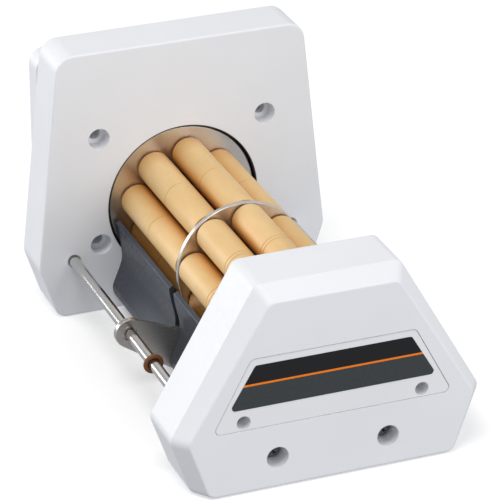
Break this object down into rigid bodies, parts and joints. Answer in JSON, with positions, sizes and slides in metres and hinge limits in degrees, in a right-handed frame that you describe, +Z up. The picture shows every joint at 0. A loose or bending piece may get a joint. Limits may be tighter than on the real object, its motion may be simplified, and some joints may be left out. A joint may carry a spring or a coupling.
{
  "type": "peristaltic pump head",
  "caption": "Multi-channel roller pump head: a rotor of long tan rollers turns between a white rear plate and a bevelled front housing, over a dark trough.",
  "frame": {"origin": "bottom centre of the whole head, on the plane of the two housings' flat undersides", "axes": "+X to the right seen from the front, +Y along the rotor axis towards the drive, +Z up"},
  "size_m": [0.1378, 0.213, 0.1269],
  "materials": {
    "white_plastic": "fine satin moulding",
    "label_base": "satin inlay",
    "label_black": "printed satin film",
    "label_orange": "printed satin film",
    "label_grey": "printed satin film",
    "bed_paint": "fine textured paint",
    "sheet_steel": "satin stainless sheet",
    "rod_steel": "ground stainless rod",
    "disc_steel": "turned stainless",
    "shaft_steel": "ground steel",
    "bearing_steel": "polished bearing steel",
    "screw_steel": "plain steel",
    "brown_rubber": "smooth rubber",
    "black_plastic": "moulded seal",
    "white_nylon": "moulded",
    "roller_plastic": "machined tan polymer"
  },
  "bodies": {
    "frame": {"rear_plate": "white_plastic", "rear_adapter": "white_plastic", "disc_seal": "black_plastic", "front_housing": "white_plastic", "front_inner_plate": "white_plastic", "label_plate": "label_base", "label_upper_field": "label_black", "label_stripe": "label_orange", "label_lower_field": "label_grey", "bed_rear": "bed_paint", "bed_front": "bed_paint", "rod_support": "sheet_steel", "support_spacers": "sheet_steel", "rod_bushes": "sheet_steel", "rod_left": "rod_steel", "rod_right": "rod_steel", "o_ring_left": "brown_rubber", "o_ring_right": "brown_rubber", "tie_screws": "screw_steel", "front_screws": "screw_steel", "rear_bearing_outer_ring": "bearing_steel", "front_bearing_outer_ring": "bearing_steel"},
    "rotor": {"rear_bearing_inner_ring": "bearing_steel", "rear_bearing_balls": "bearing_steel", "front_bearing_inner_ring": "bearing_steel", "front_bearing_balls": "bearing_steel", "shaft": "shaft_steel", "shaft_circlip": "screw_steel", "drive_coupling": "shaft_steel", "coupling_set_screw": "screw_steel", "rear_disc": "disc_steel", "middle_disc": "disc_steel", "front_disc": "disc_steel", "rear_spacer_tube": "shaft_steel", "front_spacer_tube": "shaft_steel", "roller_axles": "shaft_steel", "thrust_washers": "white_nylon"},
    "rear_roller_1": {"roller_rear_1": "roller_plastic"},
    "rear_roller_2": {"roller_rear_2": "roller_plastic"},
    "rear_roller_3": {"roller_rear_3": "roller_plastic"},
    "rear_roller_4": {"roller_rear_4": "roller_plastic"},
    "rear_roller_5": {"roller_rear_5": "roller_plastic"},
    "rear_roller_6": {"roller_rear_6": "roller_plastic"},
    "rear_roller_7": {"roller_rear_7": "roller_plastic"},
    "rear_roller_8": {"roller_rear_8": "roller_plastic"},
    "front_roller_1": {"roller_front_1": "roller_plastic"},
    "front_roller_2": {"roller_front_2": "roller_plastic"},
    "front_roller_3": {"roller_front_3": "roller_plastic"},
    "front_roller_4": {"roller_front_4": "roller_plastic"},
    "front_roller_5": {"roller_front_5": "roller_plastic"},
    "front_roller_6": {"roller_front_6": "roller_plastic"},
    "front_roller_7": {"roller_front_7": "roller_plastic"},
    "front_roller_8": {"roller_front_8": "roller_plastic"}
  },
  "joints": [
    {"name": "rotor_spin", "type": "hinge", "parent": "frame", "child": "rotor", "pos_m": [0, 0, 0.0495], "axis": [0, 1, 0], "continuous": true},
    {"name": "rear_roller_1_spin", "type": "hinge", "parent": "rotor", "child": "rear_roller_1", "pos_m": [0.02184, 0.035, 0.04682], "axis": [0, 1, 0], "continuous": true},
    {"name": "rear_roller_2_spin", "type": "hinge", "parent": "rotor", "child": "rear_roller_2", "pos_m": [0.01734, 0.035, 0.06304], "axis": [0, 1, 0], "continuous": true},
    {"name": "rear_roller_3_spin", "type": "hinge", "parent": "rotor", "child": "rear_roller_3", "pos_m": [0.00268, 0.035, 0.07134], "axis": [0, 1, 0], "continuous": true},
    {"name": "rear_roller_4_spin", "type": "hinge", "parent": "rotor", "child": "rear_roller_4", "pos_m": [-0.01354, 0.035, 0.06684], "axis": [0, 1, 0], "continuous": true},
    {"name": "rear_roller_5_spin", "type": "hinge", "parent": "rotor", "child": "rear_roller_5", "pos_m": [-0.02184, 0.035, 0.05218], "axis": [0, 1, 0], "continuous": true},
    {"name": "rear_roller_6_spin", "type": "hinge", "parent": "rotor", "child": "rear_roller_6", "pos_m": [-0.01734, 0.035, 0.03596], "axis": [0, 1, 0], "continuous": true},
    {"name": "rear_roller_7_spin", "type": "hinge", "parent": "rotor", "child": "rear_roller_7", "pos_m": [-0.00268, 0.035, 0.02766], "axis": [0, 1, 0], "continuous": true},
    {"name": "rear_roller_8_spin", "type": "hinge", "parent": "rotor", "child": "rear_roller_8", "pos_m": [0.01354, 0.035, 0.03216], "axis": [0, 1, 0], "continuous": true},
    {"name": "front_roller_1_spin", "type": "hinge", "parent": "rotor", "child": "front_roller_1", "pos_m": [0.02184, -0.038, 0.04682], "axis": [0, 1, 0], "continuous": true},
    {"name": "front_roller_2_spin", "type": "hinge", "parent": "rotor", "child": "front_roller_2", "pos_m": [0.01734, -0.038, 0.06304], "axis": [0, 1, 0], "continuous": true},
    {"name": "front_roller_3_spin", "type": "hinge", "parent": "rotor", "child": "front_roller_3", "pos_m": [0.00268, -0.038, 0.07134], "axis": [0, 1, 0], "continuous": true},
    {"name": "front_roller_4_spin", "type": "hinge", "parent": "rotor", "child": "front_roller_4", "pos_m": [-0.01354, -0.038, 0.06684], "axis": [0, 1, 0], "continuous": true},
    {"name": "front_roller_5_spin", "type": "hinge", "parent": "rotor", "child": "front_roller_5", "pos_m": [-0.02184, -0.038, 0.05218], "axis": [0, 1, 0], "continuous": true},
    {"name": "front_roller_6_spin", "type": "hinge", "parent": "rotor", "child": "front_roller_6", "pos_m": [-0.01734, -0.038, 0.03596], "axis": [0, 1, 0], "continuous": true},
    {"name": "front_roller_7_spin", "type": "hinge", "parent": "rotor", "child": "front_roller_7", "pos_m": [-0.00268, -0.038, 0.02766], "axis": [0, 1, 0], "continuous": true},
    {"name": "front_roller_8_spin", "type": "hinge", "parent": "rotor", "child": "front_roller_8", "pos_m": [0.01354, -0.038, 0.03216], "axis": [0, 1, 0], "continuous": true}
  ]
}
